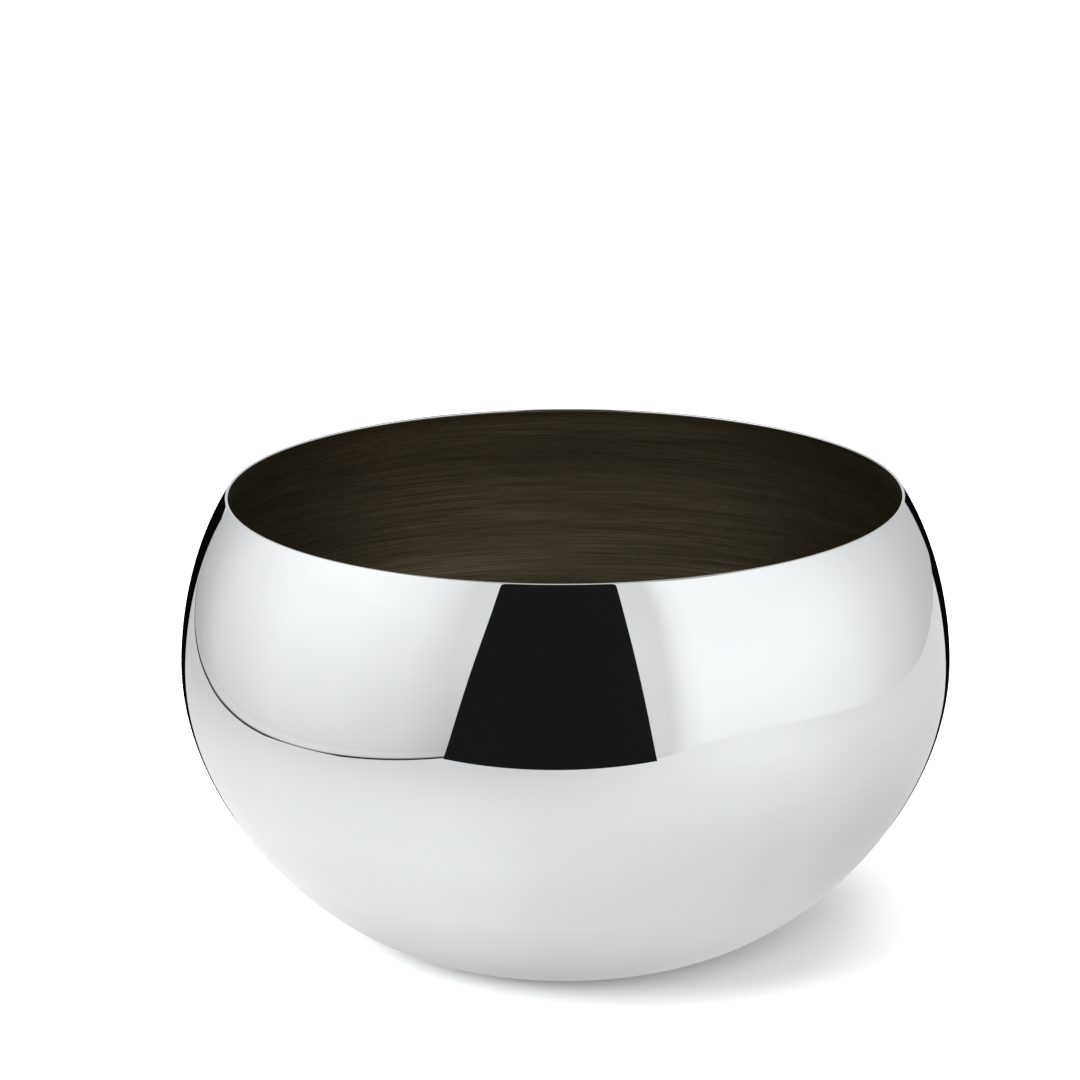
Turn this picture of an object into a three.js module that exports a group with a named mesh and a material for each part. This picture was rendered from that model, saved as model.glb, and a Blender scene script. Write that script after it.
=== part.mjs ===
// A double-walled champagne bucket: a round stainless steel bowl that swells to a belly and closes in at its mouth.
// The outer wall is an upper and a lower half that meet at the belly, the inner wall is a liner spun in one piece,
// and one rounded ring closes both walls at the mouth. A steel disc and a foam disc fill the gap under the liner's
// floor, a plug closes the hole that vents the gap, and a soft pad lies in a recess under the foot.
// Lengths are in millimetres, +Z points out of the mouth, and the origin is the middle of the pad's underside.
import * as THREE from "three";

// Outer outline, from the flat foot to the mouth.
const OVERALL_HEIGHT = 209;
const BELLY_RADIUS = 175;
const BELLY_HEIGHT = 130.5;
const BELLY_DROP = 67.5; // how far down the belly's upright tangent pulls the curve below it
const FOOT_RADIUS = 64;
const FOOT_REACH = 41; // how far out the foot's flat tangent pulls the curve
const MOUTH_RADIUS = 153.5;
const MOUTH_SLOPE = THREE.MathUtils.degToRad(57.6); // the wall's rise above the horizontal at the mouth
const MOUTH_REACH = 38.4;

// Sheet metal and the spaces between pieces.
const SHEET = 0.6;
const GAP = 0.3;
const WALL_SPACE = 6; // between the two walls at the belly
const LIP_HEIGHT = 8; // the lower half's lip that locates the upper half
const RIM_WIDTH = 2 * SHEET + GAP;
const RIM_BAND = 1.8; // how far the closing ring reaches down from where its round edge starts

// Underside: the pad's recess in the foot, and the vent in its middle.
const PAD_RADIUS = 46;
const PAD_THICKNESS = 2;
const PAD_PROUD = 0.5; // the pad stands this far below the foot
const VENT_RADIUS = 3;
const PLUG_HEAD_RADIUS = 5;
const PLUG_HEAD_THICKNESS = 0.6;
const PLUG_LENGTH = 2; // from the head's underside to the tip

// Discs between the two floors.
const BASE_PLATE_RADIUS = 60;
const BASE_PLATE_THICKNESS = 3;
const BASE_PLATE_HOLE_RADIUS = 6;
const SPACER_RADIUS = 56;
const SPACER_THICKNESS = 5;
const DISC_CHAMFER = 0.5;

// Inner outline.
const LINER_FLOOR_RADIUS = 62;
const LINER_FLOOR_REACH = 40;
const LINER_BELLY_DROP = 58;
const LINER_MOUTH_REACH = 26; // shorter than the outer wall's, so that the walls part below the mouth

// Fineness of the facets.
const TURN_STEPS = 60;
const LOWER_STEPS = 9;
const UPPER_STEPS = 6;
const LIP_STEPS = 1;
const RIM_STEPS = 6;

const point = (radius, height) => new THREE.Vector2(radius, height);

const MIRROR_STEEL = { color: 0xe6e8ea, roughness: 0.04, metalness: 1 };
const BRUSHED_STEEL = { color: 0x8c8a84, roughness: 0.32, metalness: 1 };
const MILL_STEEL = { color: 0x8a8d90, roughness: 0.5, metalness: 1 };
const FOAM = { color: 0x4a4d50, roughness: 0.95, metalness: 0 };
const SOFT_PAD = { color: 0x1d1e20, roughness: 0.8, metalness: 0 };

// Turns a closed profile of (radius, height) points about Z. The profile runs up its outer side and down its inner
// side, so that the faces point out.
function revolve(name, profile, finish) {
  const geometry = new THREE.LatheGeometry(profile, TURN_STEPS);
  geometry.rotateX(Math.PI / 2);
  const mesh = new THREE.Mesh(geometry, new THREE.MeshStandardMaterial(finish));
  mesh.name = name;
  return mesh;
}

// A wall's outline in two curves that share an upright tangent and one curvature at the belly.
function wallOutline({ floor, floorReach, belly, bellyDrop, mouth, mouthReach }) {
  const floorHandle = point(floor.x + floorReach, floor.y);
  const mouthHandle = point(
    mouth.x + mouthReach * Math.cos(MOUTH_SLOPE),
    mouth.y - mouthReach * Math.sin(MOUTH_SLOPE),
  );
  const bellyRise = bellyDrop * Math.sqrt((belly.x - mouthHandle.x) / (belly.x - floorHandle.x));
  return {
    lower: new THREE.CubicBezierCurve(floor, floorHandle, point(belly.x, belly.y - bellyDrop), belly),
    upper: new THREE.CubicBezierCurve(belly, point(belly.x, belly.y + bellyRise), mouthHandle, mouth),
  };
}

// Points along a curve between two of its parameters, moved by inset towards the hollow.
function follow(curve, inset, steps, from = 0, to = 1) {
  return Array.from({ length: steps + 1 }, (_, i) => {
    const at = from + ((to - from) * i) / steps;
    const along = curve.getTangent(at);
    return curve.getPoint(at).add(point(-along.y, along.x).multiplyScalar(inset));
  });
}

// The parameter at a length along a curve, counted back from its end when the length is negative.
function parameterAtLength(curve, length) {
  return curve.getUtoTmapping(0, length < 0 ? curve.getLength() + length : length);
}

// The two walls at the mouth, where they run side by side up to the closing ring.
const alongMouth = point(-Math.cos(MOUTH_SLOPE), Math.sin(MOUTH_SLOPE));
const intoHollow = point(-alongMouth.y, alongMouth.x);
const roundEdgeRise = (RIM_WIDTH / 2) * (1 + intoHollow.y); // from the outer edge's end up to the ring's top
const mouthEnd = point(MOUTH_RADIUS, OVERALL_HEIGHT - roundEdgeRise);
const linerEnd = mouthEnd.clone().addScaledVector(intoHollow, SHEET + GAP);

// Heights of the floors, from the ground up.
const footHeight = PAD_PROUD;
const recessCeiling = PAD_THICKNESS + GAP;
const basePlateBottom = recessCeiling + SHEET + GAP;
const spacerBottom = basePlateBottom + BASE_PLATE_THICKNESS + GAP;
const linerBottom = spacerBottom + SPACER_THICKNESS + GAP;

const shell = wallOutline({
  floor: point(FOOT_RADIUS, footHeight),
  floorReach: FOOT_REACH,
  belly: point(BELLY_RADIUS, BELLY_HEIGHT),
  bellyDrop: BELLY_DROP,
  mouth: mouthEnd,
  mouthReach: MOUTH_REACH,
});

const liner = wallOutline({
  floor: point(LINER_FLOOR_RADIUS, linerBottom),
  floorReach: LINER_FLOOR_REACH,
  belly: point(BELLY_RADIUS - SHEET - WALL_SPACE, BELLY_HEIGHT),
  bellyDrop: LINER_BELLY_DROP,
  mouth: linerEnd,
  mouthReach: LINER_MOUTH_REACH,
});

// The upper half of the outer wall, from the belly seam to the closing ring.
function upperShell() {
  const top = parameterAtLength(shell.upper, -RIM_BAND);
  return revolve(
    "upper_shell",
    [
      ...follow(shell.upper, 0, UPPER_STEPS, 0, top),
      ...follow(shell.upper, SHEET, UPPER_STEPS, top, 0),
      shell.upper.getPoint(0),
    ],
    MIRROR_STEEL,
  );
}

// The lower half: the vented recess, the foot, the bowl, and a lip stepped in by one sheet to sit inside the seam.
function lowerShell() {
  const shoulder = BELLY_HEIGHT - GAP;
  const lipTop = parameterAtLength(shell.upper, LIP_HEIGHT);
  const lipOuter = SHEET + GAP;
  const lipInner = lipOuter + SHEET;
  const recessRadius = PAD_RADIUS + GAP;
  const outside = [
    point(VENT_RADIUS, recessCeiling),
    point(recessRadius, recessCeiling),
    point(recessRadius, footHeight),
    ...follow(shell.lower, 0, LOWER_STEPS).slice(0, -1),
    point(BELLY_RADIUS, shoulder),
    point(BELLY_RADIUS - lipOuter, shoulder),
    ...follow(shell.upper, lipOuter, LIP_STEPS, 0, lipTop),
  ];
  const inside = [
    ...follow(shell.upper, lipInner, LIP_STEPS, lipTop, 0),
    point(BELLY_RADIUS - lipInner, shoulder - SHEET),
    point(BELLY_RADIUS - SHEET, shoulder - SHEET),
    ...follow(shell.lower, SHEET, LOWER_STEPS, 1, 0).slice(1),
    point(recessRadius + SHEET, footHeight + SHEET),
    point(recessRadius + SHEET, recessCeiling + SHEET),
    point(VENT_RADIUS, recessCeiling + SHEET),
    point(VENT_RADIUS, recessCeiling),
  ];
  return revolve("lower_shell", [...outside, ...inside], MIRROR_STEEL);
}

// The inner wall, spun in one piece: a flat floor and a wall that meets the outer one at the mouth.
function innerLiner() {
  const top = parameterAtLength(liner.upper, -RIM_BAND);
  return revolve(
    "inner_liner",
    [
      point(0, linerBottom),
      ...follow(liner.lower, 0, LOWER_STEPS),
      ...follow(liner.upper, 0, UPPER_STEPS, 0, top).slice(1),
      ...follow(liner.upper, SHEET, UPPER_STEPS, top, 0),
      ...follow(liner.lower, SHEET, LOWER_STEPS, 1, 0).slice(1),
      point(0, linerBottom + SHEET),
    ],
    BRUSHED_STEEL,
  );
}

// The ring that closes both walls: flush with them on both sides, with a fully rounded edge.
function rimRing() {
  const seat = GAP - RIM_BAND;
  const place = (across, along) =>
    mouthEnd.clone().addScaledVector(intoHollow, across).addScaledVector(alongMouth, along);
  const half = RIM_WIDTH / 2;
  const roundEdge = Array.from({ length: RIM_STEPS + 1 }, (_, i) => {
    const angle = (Math.PI * i) / RIM_STEPS;
    return place(half - half * Math.cos(angle), half * Math.sin(angle));
  });
  return revolve(
    "rim_ring",
    [place(0, seat), ...roundEdge, place(RIM_WIDTH, seat), place(0, seat)],
    MIRROR_STEEL,
  );
}

// A flat disc with chamfered edges, with a hole in the middle when holeRadius is more than nothing.
function disc(name, { radius, thickness, bottom, holeRadius = 0 }, finish) {
  const top = bottom + thickness;
  const profile = [
    point(holeRadius, bottom),
    point(radius - DISC_CHAMFER, bottom),
    point(radius, bottom + DISC_CHAMFER),
    point(radius, top - DISC_CHAMFER),
    point(radius - DISC_CHAMFER, top),
    point(holeRadius, top),
  ];
  if (holeRadius > 0) profile.push(point(holeRadius, bottom));
  return revolve(name, profile, finish);
}

// The pad, with a pocket in its upper face that clears the plug's head.
function basePad() {
  const pocketRadius = PLUG_HEAD_RADIUS + GAP;
  const pocketFloor = PAD_THICKNESS - PLUG_HEAD_THICKNESS - GAP;
  return revolve(
    "base_pad",
    [
      point(0, 0),
      point(PAD_RADIUS - DISC_CHAMFER, 0),
      point(PAD_RADIUS, DISC_CHAMFER),
      point(PAD_RADIUS, PAD_THICKNESS),
      point(pocketRadius, PAD_THICKNESS),
      point(pocketRadius, pocketFloor),
      point(0, pocketFloor),
    ],
    SOFT_PAD,
  );
}

// The plug that closes the vent: a low head under the recess's ceiling, and a shank through the hole.
function ventPlug() {
  const headTop = recessCeiling - GAP;
  const headBottom = headTop - PLUG_HEAD_THICKNESS;
  const shankRadius = VENT_RADIUS - GAP;
  return revolve(
    "vent_plug",
    [
      point(0, headBottom),
      point(PLUG_HEAD_RADIUS, headBottom),
      point(PLUG_HEAD_RADIUS, headTop),
      point(shankRadius, headTop),
      point(shankRadius, headBottom + PLUG_LENGTH),
      point(0, headBottom + PLUG_LENGTH),
    ],
    MILL_STEEL,
  );
}

const bucket = new THREE.Group();
bucket.add(
  upperShell(),
  lowerShell(),
  innerLiner(),
  rimRing(),
  disc(
    "base_plate",
    {
      radius: BASE_PLATE_RADIUS,
      thickness: BASE_PLATE_THICKNESS,
      bottom: basePlateBottom,
      holeRadius: BASE_PLATE_HOLE_RADIUS,
    },
    MILL_STEEL,
  ),
  disc("floor_spacer", { radius: SPACER_RADIUS, thickness: SPACER_THICKNESS, bottom: spacerBottom }, FOAM),
  ventPlug(),
  basePad(),
);

export default bucket;
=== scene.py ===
"""Visual model of a double-walled steel champagne bucket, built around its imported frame.

The outer wall is mirror polished and made in two halves that meet at the belly. The inner wall is a
brushed liner, and a rounded ring closes both walls at the mouth. A foam disc and a steel disc fill the
gap under the liner's floor, a plug closes the vent under the foot, and a rubber pad lies in a recess.
Lengths are in metres, +Z points out of the mouth, and the origin is the middle of the pad's underside.
"""

import logging
import math
from collections.abc import Callable, Iterable, Mapping, Sequence
from dataclasses import dataclass, field
from enum import Enum
from typing import Any, ClassVar

import bpy
from mathutils import Matrix, Vector


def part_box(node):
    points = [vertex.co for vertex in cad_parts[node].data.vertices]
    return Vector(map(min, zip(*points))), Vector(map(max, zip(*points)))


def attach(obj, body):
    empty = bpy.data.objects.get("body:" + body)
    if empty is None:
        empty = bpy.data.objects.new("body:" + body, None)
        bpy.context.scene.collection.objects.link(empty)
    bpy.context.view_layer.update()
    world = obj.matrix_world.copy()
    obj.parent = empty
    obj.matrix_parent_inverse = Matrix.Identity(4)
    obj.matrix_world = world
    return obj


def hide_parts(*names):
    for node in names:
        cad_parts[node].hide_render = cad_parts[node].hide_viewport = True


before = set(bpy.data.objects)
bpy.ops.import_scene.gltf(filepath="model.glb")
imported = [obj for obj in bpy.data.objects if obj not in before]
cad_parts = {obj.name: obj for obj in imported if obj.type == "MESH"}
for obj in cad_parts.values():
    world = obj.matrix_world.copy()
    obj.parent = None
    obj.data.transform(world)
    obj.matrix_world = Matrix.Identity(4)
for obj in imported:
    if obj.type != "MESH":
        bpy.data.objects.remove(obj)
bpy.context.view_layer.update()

LOG = logging.getLogger("champagne_bucket")

MM = 0.001
GAP = 0.3 * MM  # between pieces that lie against each other
TURN_STEPS = 256
MERGE_DISTANCE = 1e-6
HALVINGS = 40  # narrow a range of parameters to a millionth of a millionth
QUARTER_ARC_HANDLE = 0.5523
SHARP_ANGLE = math.radians(35)
UP = Vector((0, 0, 1))

Colour = tuple[float, float, float]
Stops = Sequence[tuple[float, float]]


# ---------------------------------------------------------------- shader graph


class Value:
    """A shader socket in an expression, where each operator adds the Math node that it stands for."""

    def __init__(self, graph: "Graph", socket: bpy.types.NodeSocket) -> None:
        """Wraps an output socket of one of the graph's nodes."""
        self.graph = graph
        self.socket = socket

    def __add__(self, other: "Operand") -> "Value":
        """Returns self + other."""
        return self.graph.math("ADD", self, other)

    def __radd__(self, other: "Operand") -> "Value":
        """Returns other + self."""
        return self.graph.math("ADD", other, self)

    def __sub__(self, other: "Operand") -> "Value":
        """Returns self - other."""
        return self.graph.math("SUBTRACT", self, other)

    def __rsub__(self, other: "Operand") -> "Value":
        """Returns other - self."""
        return self.graph.math("SUBTRACT", other, self)

    def __mul__(self, other: "Operand") -> "Value":
        """Returns self * other."""
        return self.graph.math("MULTIPLY", self, other)

    def __rmul__(self, other: "Operand") -> "Value":
        """Returns other * self."""
        return self.graph.math("MULTIPLY", other, self)

    def __truediv__(self, other: "Operand") -> "Value":
        """Returns self / other."""
        return self.graph.math("DIVIDE", self, other)

    def __rtruediv__(self, other: "Operand") -> "Value":
        """Returns other / self."""
        return self.graph.math("DIVIDE", other, self)


Operand = Value | float


class Graph:
    """The node tree of one material or world."""

    def __init__(self, tree: bpy.types.NodeTree) -> None:
        """Empties a node tree, ready to be built in."""
        self.tree = tree
        self.tree.nodes.clear()

    def node(
        self,
        kind: str,
        settings: Mapping[str, Any] | None = None,
        sockets: Mapping[str | int, Any] | None = None,
    ) -> bpy.types.Node:
        """Adds one node.

        Args:
            kind: The node's type.
            settings: Properties of the node, set first. "stops" holds a ramp's (position, grey) pairs.
            sockets: Values for the node's inputs, or the Value objects that feed them, by name or number.

        Returns:
            The new node.
        """
        made = self.tree.nodes.new(kind)
        for name, setting in (settings or {}).items():
            if name == "stops":
                self._set_stops(made.color_ramp, setting)
            else:
                setattr(made, name, setting)
        for name, given in (sockets or {}).items():
            if isinstance(given, Value):
                self.tree.links.new(given.socket, made.inputs[name])
            else:
                made.inputs[name].default_value = given
        return made

    @staticmethod
    def _set_stops(ramp: bpy.types.ColorRamp, stops: Stops) -> None:
        """Gives a ramp its stops.

        Args:
            ramp: The ramp, with the two stops of a new node.
            stops: (position, grey) pairs in rising order.
        """
        while len(ramp.elements) < len(stops):
            ramp.elements.new(1.0)
        for element, (position, grey) in zip(ramp.elements, stops):
            element.position = position
            element.color = (grey, grey, grey, 1.0)

    def out(self, made: bpy.types.Node, name: str | int = 0) -> Value:
        """Returns one output of a node, ready for an expression."""
        return Value(self, made.outputs[name])

    def math(self, operation: str, *operands: Operand) -> Value:
        """Returns the result of a Math node on the operands."""
        return self.out(self.node("ShaderNodeMath", {"operation": operation}, dict(enumerate(operands))))

    def rescale(self, value: Value, old: tuple[float, float], new: tuple[float, float]) -> Value:
        """Returns a value mapped from its old range to a new one, and held at the new range's ends."""
        limits = {1: old[0], 2: old[1], 3: new[0], 4: new[1]}
        return self.out(self.node("ShaderNodeMapRange", {"clamp": True}, {0: value, **limits}))

    def share(self, value: Value, none: float, whole: float) -> Value:
        """Returns how far a value has come from none, which gives 0, to whole, which gives 1."""
        return self.rescale(value, (none, whole), (0.0, 1.0))

    def ramp(self, value: Value, old: tuple[float, float], stops: Stops) -> Value:
        """Looks a value up in a table of straight stretches.

        Args:
            value: What to look up.
            old: The range that the stops' first numbers are given in.
            stops: (value, result) pairs in rising order, with results from 0 to 1.

        Returns:
            The result as a value.
        """
        low, high = old
        table = [((at - low) / (high - low), grey) for at, grey in stops]
        along = self.share(value, low, high)
        return self.out(self.node("ShaderNodeValToRGB", {"stops": table}, {0: along}))

    def noise(self, vector: Value, scale: float, detail: float = 2.0, roughness: float = 0.5) -> Value:
        """Returns fractal noise, about 0.5 on average, with scale grains along one unit of the vector."""
        sockets = {"Vector": vector, "Scale": scale, "Detail": detail, "Roughness": roughness}
        return self.out(self.node("ShaderNodeTexNoise", {"noise_dimensions": "3D"}, sockets), "Fac")

    def vector(self, x: Operand, y: Operand, z: Operand) -> Value:
        """Returns a vector made of three values."""
        return self.out(self.node("ShaderNodeCombineXYZ", {}, {0: x, 1: y, 2: z}))

    def place(self) -> Value:
        """Returns the Object coordinates, which are metres in the bucket's own frame."""
        return self.out(self.node("ShaderNodeTexCoord"), "Object")

    def parts(self, vector: Value) -> tuple[Value, Value, Value]:
        """Returns the X, Y and Z of a vector."""
        split = self.node("ShaderNodeSeparateXYZ", {}, {0: vector})
        return self.out(split, 0), self.out(split, 1), self.out(split, 2)

    def tint(self, amount: Value, dark: Colour, light: Colour) -> Value:
        """Blends two colours.

        Args:
            amount: 0 for dark, 1 for light.
            dark: The first colour.
            light: The second colour.

        Returns:
            The blended colour.
        """
        settings = {"data_type": "RGBA", "clamp_factor": True}
        sockets = {"Factor": amount, 6: (*dark, 1.0), 7: (*light, 1.0)}
        return self.out(self.node("ShaderNodeMix", settings, sockets), 2)

    def bump(self, height: Value, depth: float) -> Value:
        """Returns the normal of a surface that rises by depth, in metres, where height goes from 0 to 1."""
        sockets = {"Strength": 1.0, "Distance": depth, "Height": height}
        return self.out(self.node("ShaderNodeBump", {}, sockets))

    def surface(self, sockets: Mapping[str, Any]) -> None:
        """Ends a material's graph with a Principled shader, given the values or links of its inputs."""
        shader = self.node("ShaderNodeBsdfPrincipled", {}, sockets)
        self.node("ShaderNodeOutputMaterial", {}, {"Surface": self.out(shader)})


def new_material(name: str) -> tuple[bpy.types.Material, Graph]:
    """Makes a material with an empty graph.

    Args:
        name: The material's name.

    Returns:
        The material and its graph.
    """
    material = bpy.data.materials.new(name)
    material.use_nodes = True
    return material, Graph(material.node_tree)


@dataclass(frozen=True)
class TurnedPlace:
    """Where a point lies on a surface of revolution, for patterns that run round the axis."""

    around_x: Value
    around_y: Value
    height: Value
    run: Value

    CLIMB_WEIGHT: ClassVar[float] = 1.6  # keeps rings apart both on a flat floor and on an upright wall

    @classmethod
    def on(cls, graph: Graph) -> "TurnedPlace":
        """Adds the nodes that work the place out.

        Args:
            graph: The material's graph.

        Returns:
            The place, where run rises steadily from the pole up to the mouth.
        """
        x, y, height = graph.parts(graph.place())
        radius = graph.math("MAXIMUM", graph.math("SQRT", x * x + y * y), MM)
        return cls(x / radius, y / radius, height, radius + height * cls.CLIMB_WEIGHT)

    def rings(self, graph: Graph, pitch: float, breaks: float, detail: float = 2.0) -> Value:
        """Returns noise in rings that lie about a pitch apart and change breaks times on their way round."""
        drawn = graph.vector(self.run / pitch, self.around_x * breaks, self.around_y * breaks)
        return graph.noise(drawn, 1.0, detail)


# ---------------------------------------------------------------- finishes


@dataclass(frozen=True)
class MirrorSteel:
    """Polished stainless steel with the faint waviness of a spun wall and fine wiping marks."""

    name: str = "mirror_steel"
    light: Colour = (0.688, 0.706, 0.714)
    dark: Colour = (0.658, 0.676, 0.685)
    sheen_roughness: float = 0.012
    wipe_roughness: float = 0.035
    scuff_roughness: float = 0.22
    scuffs_start: float = 1.6 * MM
    scuffs_full: float = 0.6 * MM
    polish_pitch: float = 0.9 * MM
    scratch_pitch: float = 0.35 * MM
    films_per_metre: float = 26.0
    polish_range: tuple[float, float] = (0.35, 0.75)
    scratch_range: tuple[float, float] = (0.45, 0.6)
    film_range: tuple[float, float] = (0.52, 0.72)
    least_wiped: float = 0.2
    wiped_darkening: float = 0.6
    worn_darkening: float = 0.4
    wave_length: float = 70 * MM
    wave_depth: float = 0.012 * MM

    def material(self) -> bpy.types.Material:
        """Makes the finish.

        Returns:
            The material.
        """
        material, graph = new_material(self.name)
        place = TurnedPlace.on(graph)
        point = graph.place()
        polish = place.rings(graph, self.polish_pitch, breaks=3.0, detail=3.0)
        film = graph.noise(point, self.films_per_metre, detail=4.0, roughness=0.6)
        lines = graph.rescale(polish, self.polish_range, (self.least_wiped, 1.0))
        wiped = graph.share(film, *self.film_range) * lines
        scratches = graph.share(place.rings(graph, self.scratch_pitch, breaks=9.0), *self.scratch_range)
        height_band = graph.share(place.height, self.scuffs_start, self.scuffs_full) * scratches
        clean = self.sheen_roughness + wiped * (self.wipe_roughness - self.sheen_roughness)
        shade = 1.0 - wiped * self.wiped_darkening - height_band * self.worn_darkening
        waves = graph.noise(point, 1.0 / self.wave_length, detail=1.0)
        graph.surface(
            {
                "Base Color": graph.tint(shade, self.dark, self.light),
                "Metallic": 1.0,
                "Roughness": clean + height_band * self.scuff_roughness,
                "Normal": graph.bump(waves, self.wave_depth),
            }
        )
        return material


@dataclass(frozen=True)
class BrushedSteel:
    """Stainless steel brushed while it turned, so that its fine lines run round the axis."""

    name: str = "brushed_steel"
    # the dark olive-brown tones are painted shade and painted reflection from the dark hollow
    light: Colour = (0.54, 0.49, 0.405)
    dark: Colour = (0.17, 0.152, 0.115)
    smooth: float = 0.22
    rough: float = 0.40
    fine_pitch: float = 0.28 * MM
    coarse_pitch: float = 1.1 * MM
    band_pitch: float = 9 * MM
    fine_share: float = 0.5
    coarse_share: float = 0.3
    band_share: float = 0.2
    fine_groove_share: float = 0.6
    line_depth: float = 0.006 * MM
    along_the_lines: float = 0.65
    # painted light: the wall is made lighter from here up to the mouth
    painted_light_starts: float = 192 * MM
    painted_light_full: float = 208 * MM
    painted_light_brightening: float = 0.12
    shade_range: tuple[float, float] = (0.40, 0.74)
    groove_range: tuple[float, float] = (0.35, 0.65)

    def material(self) -> bpy.types.Material:
        """Makes the finish, with painted light that makes it lighter near the mouth.

        Returns:
            The material.
        """
        material, graph = new_material(self.name)
        place = TurnedPlace.on(graph)
        fine = place.rings(graph, self.fine_pitch, breaks=5.0, detail=3.0)
        coarse = place.rings(graph, self.coarse_pitch, breaks=3.0, detail=3.0)
        bands = place.rings(graph, self.band_pitch, breaks=1.0)
        lines = fine * self.fine_share + coarse * self.coarse_share + bands * self.band_share
        grooves = fine * self.fine_groove_share + coarse * (1.0 - self.fine_groove_share)
        # painted light: lighter colour towards the mouth
        height_band = graph.share(place.height, self.painted_light_starts, self.painted_light_full)
        shade = graph.share(lines + height_band * self.painted_light_brightening, *self.shade_range)
        graph.surface(
            {
                "Base Color": graph.tint(shade, self.dark, self.light),
                "Metallic": 1.0,
                "Roughness": graph.rescale(grooves, self.groove_range, (self.rough, self.smooth)),
                "Anisotropic": self.along_the_lines,
                "Normal": graph.bump(grooves, self.line_depth),
            }
        )
        return material


class Grain(Enum):
    """Which way the marks of bare steel run."""

    ROLLED = "straight lines from the rolling mill"
    TURNED = "rings from the lathe"


@dataclass(frozen=True)
class MillSteel:
    """Bare steel as it leaves the mill or the lathe: grey, matte, with a clear grain."""

    grain: Grain
    light: Colour = (0.56, 0.565, 0.57)
    dark: Colour = (0.40, 0.405, 0.41)
    smooth: float = 0.34
    rough: float = 0.52
    lines_per_metre: float = 2600.0
    line_stretch: float = 0.02
    ring_pitch: float = 0.3 * MM
    stains_per_metre: float = 55.0
    mark_depth: float = 0.01 * MM
    mark_share: float = 0.55
    shade_range: tuple[float, float] = (0.36, 0.64)
    stain_range: tuple[float, float] = (0.35, 0.65)

    def material(self) -> bpy.types.Material:
        """Makes the finish, with the marks that its grain names.

        Returns:
            The material.
        """
        material, graph = new_material(f"mill_steel_{self.grain.name.lower()}")
        point = graph.place()
        if self.grain is Grain.ROLLED:
            x, y, z = graph.parts(point)
            stretched = graph.vector(x * self.line_stretch, y, z)
            marks = graph.noise(stretched, self.lines_per_metre, detail=3.0)
        else:
            marks = TurnedPlace.on(graph).rings(graph, self.ring_pitch, breaks=2.0)
        stains = graph.noise(point, self.stains_per_metre, detail=4.0, roughness=0.6)
        both = marks * self.mark_share + stains * (1.0 - self.mark_share)
        shade = graph.share(both, *self.shade_range)
        graph.surface(
            {
                "Base Color": graph.tint(shade, self.dark, self.light),
                "Metallic": 1.0,
                "Roughness": graph.rescale(stains, self.stain_range, (self.smooth, self.rough)),
                "Normal": graph.bump(marks, self.mark_depth),
            }
        )
        return material


@dataclass(frozen=True)
class Foam:
    """Closed-cell foam cut from a block, with its cells open at the cut."""

    name: str = "foam"
    light: Colour = (0.24, 0.25, 0.26)
    dark: Colour = (0.09, 0.095, 0.1)
    cell_size: float = 0.9 * MM
    cell_depth: float = 0.25 * MM
    cell_wall: float = 0.3
    open_roughness: float = 0.98
    wall_roughness: float = 0.8
    mottles_per_metre: float = 180.0
    wall_share: float = 0.7

    def material(self) -> bpy.types.Material:
        """Makes the finish.

        Returns:
            The material.
        """
        material, graph = new_material(self.name)
        point = graph.place()
        cells = graph.node(
            "ShaderNodeTexVoronoi",
            {"feature": "DISTANCE_TO_EDGE"},
            {"Vector": point, "Scale": 1.0 / self.cell_size},
        )
        wall = graph.rescale(graph.out(cells, "Distance"), (0.0, self.cell_wall), (1.0, 0.0))
        mottle = graph.noise(point, self.mottles_per_metre, detail=3.0)
        shade = wall * self.wall_share + mottle * (1.0 - self.wall_share)
        graph.surface(
            {
                "Base Color": graph.tint(shade, self.dark, self.light),
                "Roughness": graph.rescale(wall, (0.0, 1.0), (self.open_roughness, self.wall_roughness)),
                "Normal": graph.bump(wall, self.cell_depth),
            }
        )
        return material


@dataclass(frozen=True)
class MouldedRubber:
    """Dark moulded rubber with a fine matte skin, rubbed paler where it stands on the table."""

    name: str = "soft_pad"
    light: Colour = (0.085, 0.083, 0.08)
    dark: Colour = (0.022, 0.022, 0.024)
    smooth: float = 0.62
    rough: float = 0.9
    skin_grains_per_metre: float = 2200.0
    skin_depth: float = 0.02 * MM
    dust_patches_per_metre: float = 90.0
    rubbed_height: float = 0.25 * MM
    rubbed_brightening: float = 0.7
    dust_brightening: float = 0.35
    skin_brightening: float = 0.15
    skin_share: float = 0.5
    dust_range: tuple[float, float] = (0.45, 0.75)
    matte_range: tuple[float, float] = (0.2, 0.8)

    def material(self) -> bpy.types.Material:
        """Makes the finish.

        Returns:
            The material.
        """
        material, graph = new_material(self.name)
        point = graph.place()
        height = graph.parts(point)[2]
        skin = graph.noise(point, self.skin_grains_per_metre, detail=3.0, roughness=0.6)
        patches = graph.noise(point, self.dust_patches_per_metre, detail=5.0, roughness=0.65)
        dust = graph.share(patches, *self.dust_range)
        rubbed = graph.rescale(height, (0.0, self.rubbed_height), (self.rubbed_brightening, 0.0))
        shade = dust * self.dust_brightening + rubbed * dust + skin * self.skin_brightening
        matte = skin * self.skin_share + dust * (1.0 - self.skin_share)
        graph.surface(
            {
                "Base Color": graph.tint(shade, self.dark, self.light),
                "Roughness": graph.rescale(matte, self.matte_range, (self.smooth, self.rough)),
                "Normal": graph.bump(skin, self.skin_depth),
            }
        )
        return material


# ---------------------------------------------------------------- outlines and turning


def flat(radius: float, height: float) -> Vector:
    """Returns a point of an outline, in the XZ plane."""
    return Vector((radius, 0.0, height))


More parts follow.
